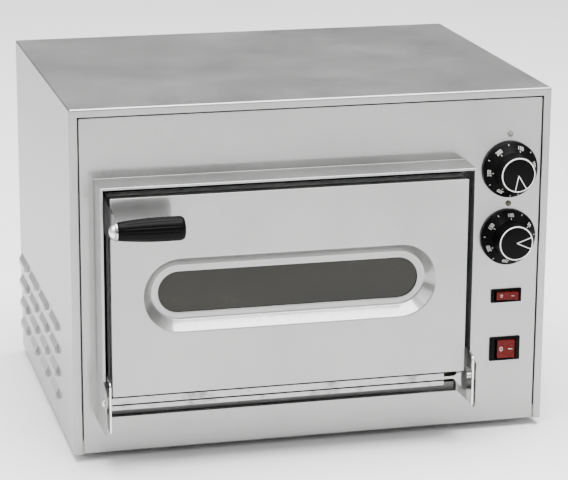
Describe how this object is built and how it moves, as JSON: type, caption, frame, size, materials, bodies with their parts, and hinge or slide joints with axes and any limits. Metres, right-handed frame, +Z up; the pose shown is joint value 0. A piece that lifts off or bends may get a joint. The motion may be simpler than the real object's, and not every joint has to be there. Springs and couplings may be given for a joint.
{
  "type": "deck oven",
  "caption": "Countertop electric deck oven in brushed steel: low baking deck, drop-down door with a slot window and side handle, dials and rocker switches at the right.",
  "frame": {"origin": "centre of the bounding box's underside: the plane that the feet stand on", "axes": "+X to the right seen from the front, +Y towards the back, +Z up; the door opens towards -Y"},
  "size_m": [0.508, 0.48, 0.366],
  "materials": {
    "steel": "brushed stainless steel, fairly bright",
    "chamber_steel": "dull stainless steel",
    "galvanised": "galvanised sheet",
    "bright_steel": "polished or plated steel",
    "rubber": "matt",
    "gasket": "woven glass fibre",
    "wool": "mineral wool",
    "stone": "fired refractory clay",
    "element": "heat-darkened steel sheath",
    "tinted_glass": "smooth, heat-stained",
    "clear_glass": "smooth",
    "ceramic": "unglazed",
    "copper": "drawn copper",
    "brass": "turned",
    "nylon": "moulded",
    "knob_plastic": "moulded, satin",
    "grip_plastic": "moulded, satin",
    "switch_plastic": "moulded",
    "gland_plastic": "moulded",
    "red_plastic": "glossy, translucent",
    "grey_lens": "glossy",
    "olive_lens": "glossy"
  },
  "bodies": {
    "cabinet": {"outer_shell": "steel", "front_panel": "steel", "rear_panel": "galvanised", "base_pan": "galvanised", "foot_front_left": "rubber", "foot_front_right": "rubber", "foot_rear_left": "rubber", "foot_rear_right": "rubber", "control_partition": "galvanised", "door_surround": "steel", "door_sill": "steel", "chamber_liner": "chamber_steel", "chamber_gasket": "gasket", "baking_stone": "stone", "stone_rail_left": "chamber_steel", "stone_rail_right": "chamber_steel", "lower_heating_element": "element", "upper_heating_element": "element", "lamp_holder": "bright_steel", "lamp_bulb": "clear_glass", "lamp_cover_glass": "clear_glass", "insulation_top": "wool", "insulation_bottom": "wool", "insulation_left": "wool", "insulation_right": "wool", "insulation_rear": "wool", "hinge_pin_left": "bright_steel", "hinge_pin_right": "bright_steel", "hinge_washer_left": "nylon", "hinge_washer_right": "nylon", "upper_thermostat": "ceramic", "lower_thermostat": "ceramic", "upper_sensor": "copper", "lower_sensor": "copper", "lamp_switch_housing": "switch_plastic", "main_switch_housing": "switch_plastic", "upper_pilot_lamp": "grey_lens", "lower_pilot_lamp": "olive_lens", "cable_gland": "gland_plastic", "gland_locknut": "gland_plastic", "earth_stud": "brass", "terminal_block": "ceramic"},
    "door": {"door_outer_skin": "steel", "door_inner_liner": "chamber_steel", "door_insulation": "wool", "window_glass_outer": "tinted_glass", "window_glass_inner": "clear_glass", "window_clamp": "galvanised", "hinge_arm_left": "bright_steel", "hinge_arm_right": "bright_steel", "handle_bracket": "steel", "handle_grip": "grip_plastic", "handle_bolt": "bright_steel"},
    "upper_dial": {"upper_knob": "knob_plastic", "upper_thermostat_shaft": "bright_steel"},
    "lower_dial": {"lower_knob": "knob_plastic", "lower_thermostat_shaft": "bright_steel"},
    "lamp_rocker": {"lamp_switch_rocker": "red_plastic"},
    "main_rocker": {"main_switch_rocker": "red_plastic"}
  },
  "joints": [
    {"name": "door_hinge", "type": "hinge", "parent": "cabinet", "child": "door", "pos_m": [-0.0335, -0.194, 0.0765], "axis": [1, 0, 0], "range_deg": [0, 90]},
    {"name": "upper_thermostat_turn", "type": "hinge", "parent": "cabinet", "child": "upper_dial", "pos_m": [0.2065, -0.152, 0.2822], "axis": [0, 1, 0], "range_deg": [-170, 150]},
    {"name": "lower_thermostat_turn", "type": "hinge", "parent": "cabinet", "child": "lower_dial", "pos_m": [0.2065, -0.152, 0.2102], "axis": [0, 1, 0], "range_deg": [-92, 228]},
    {"name": "lamp_switch_rock", "type": "hinge", "parent": "cabinet", "child": "lamp_rocker", "pos_m": [0.2071, -0.1504, 0.1464], "axis": [0, 0, 1], "range_deg": [0, 14]},
    {"name": "main_switch_rock", "type": "hinge", "parent": "cabinet", "child": "main_rocker", "pos_m": [0.2071, -0.1504, 0.0883], "axis": [0, 0, 1], "range_deg": [0, 14]}
  ]
}
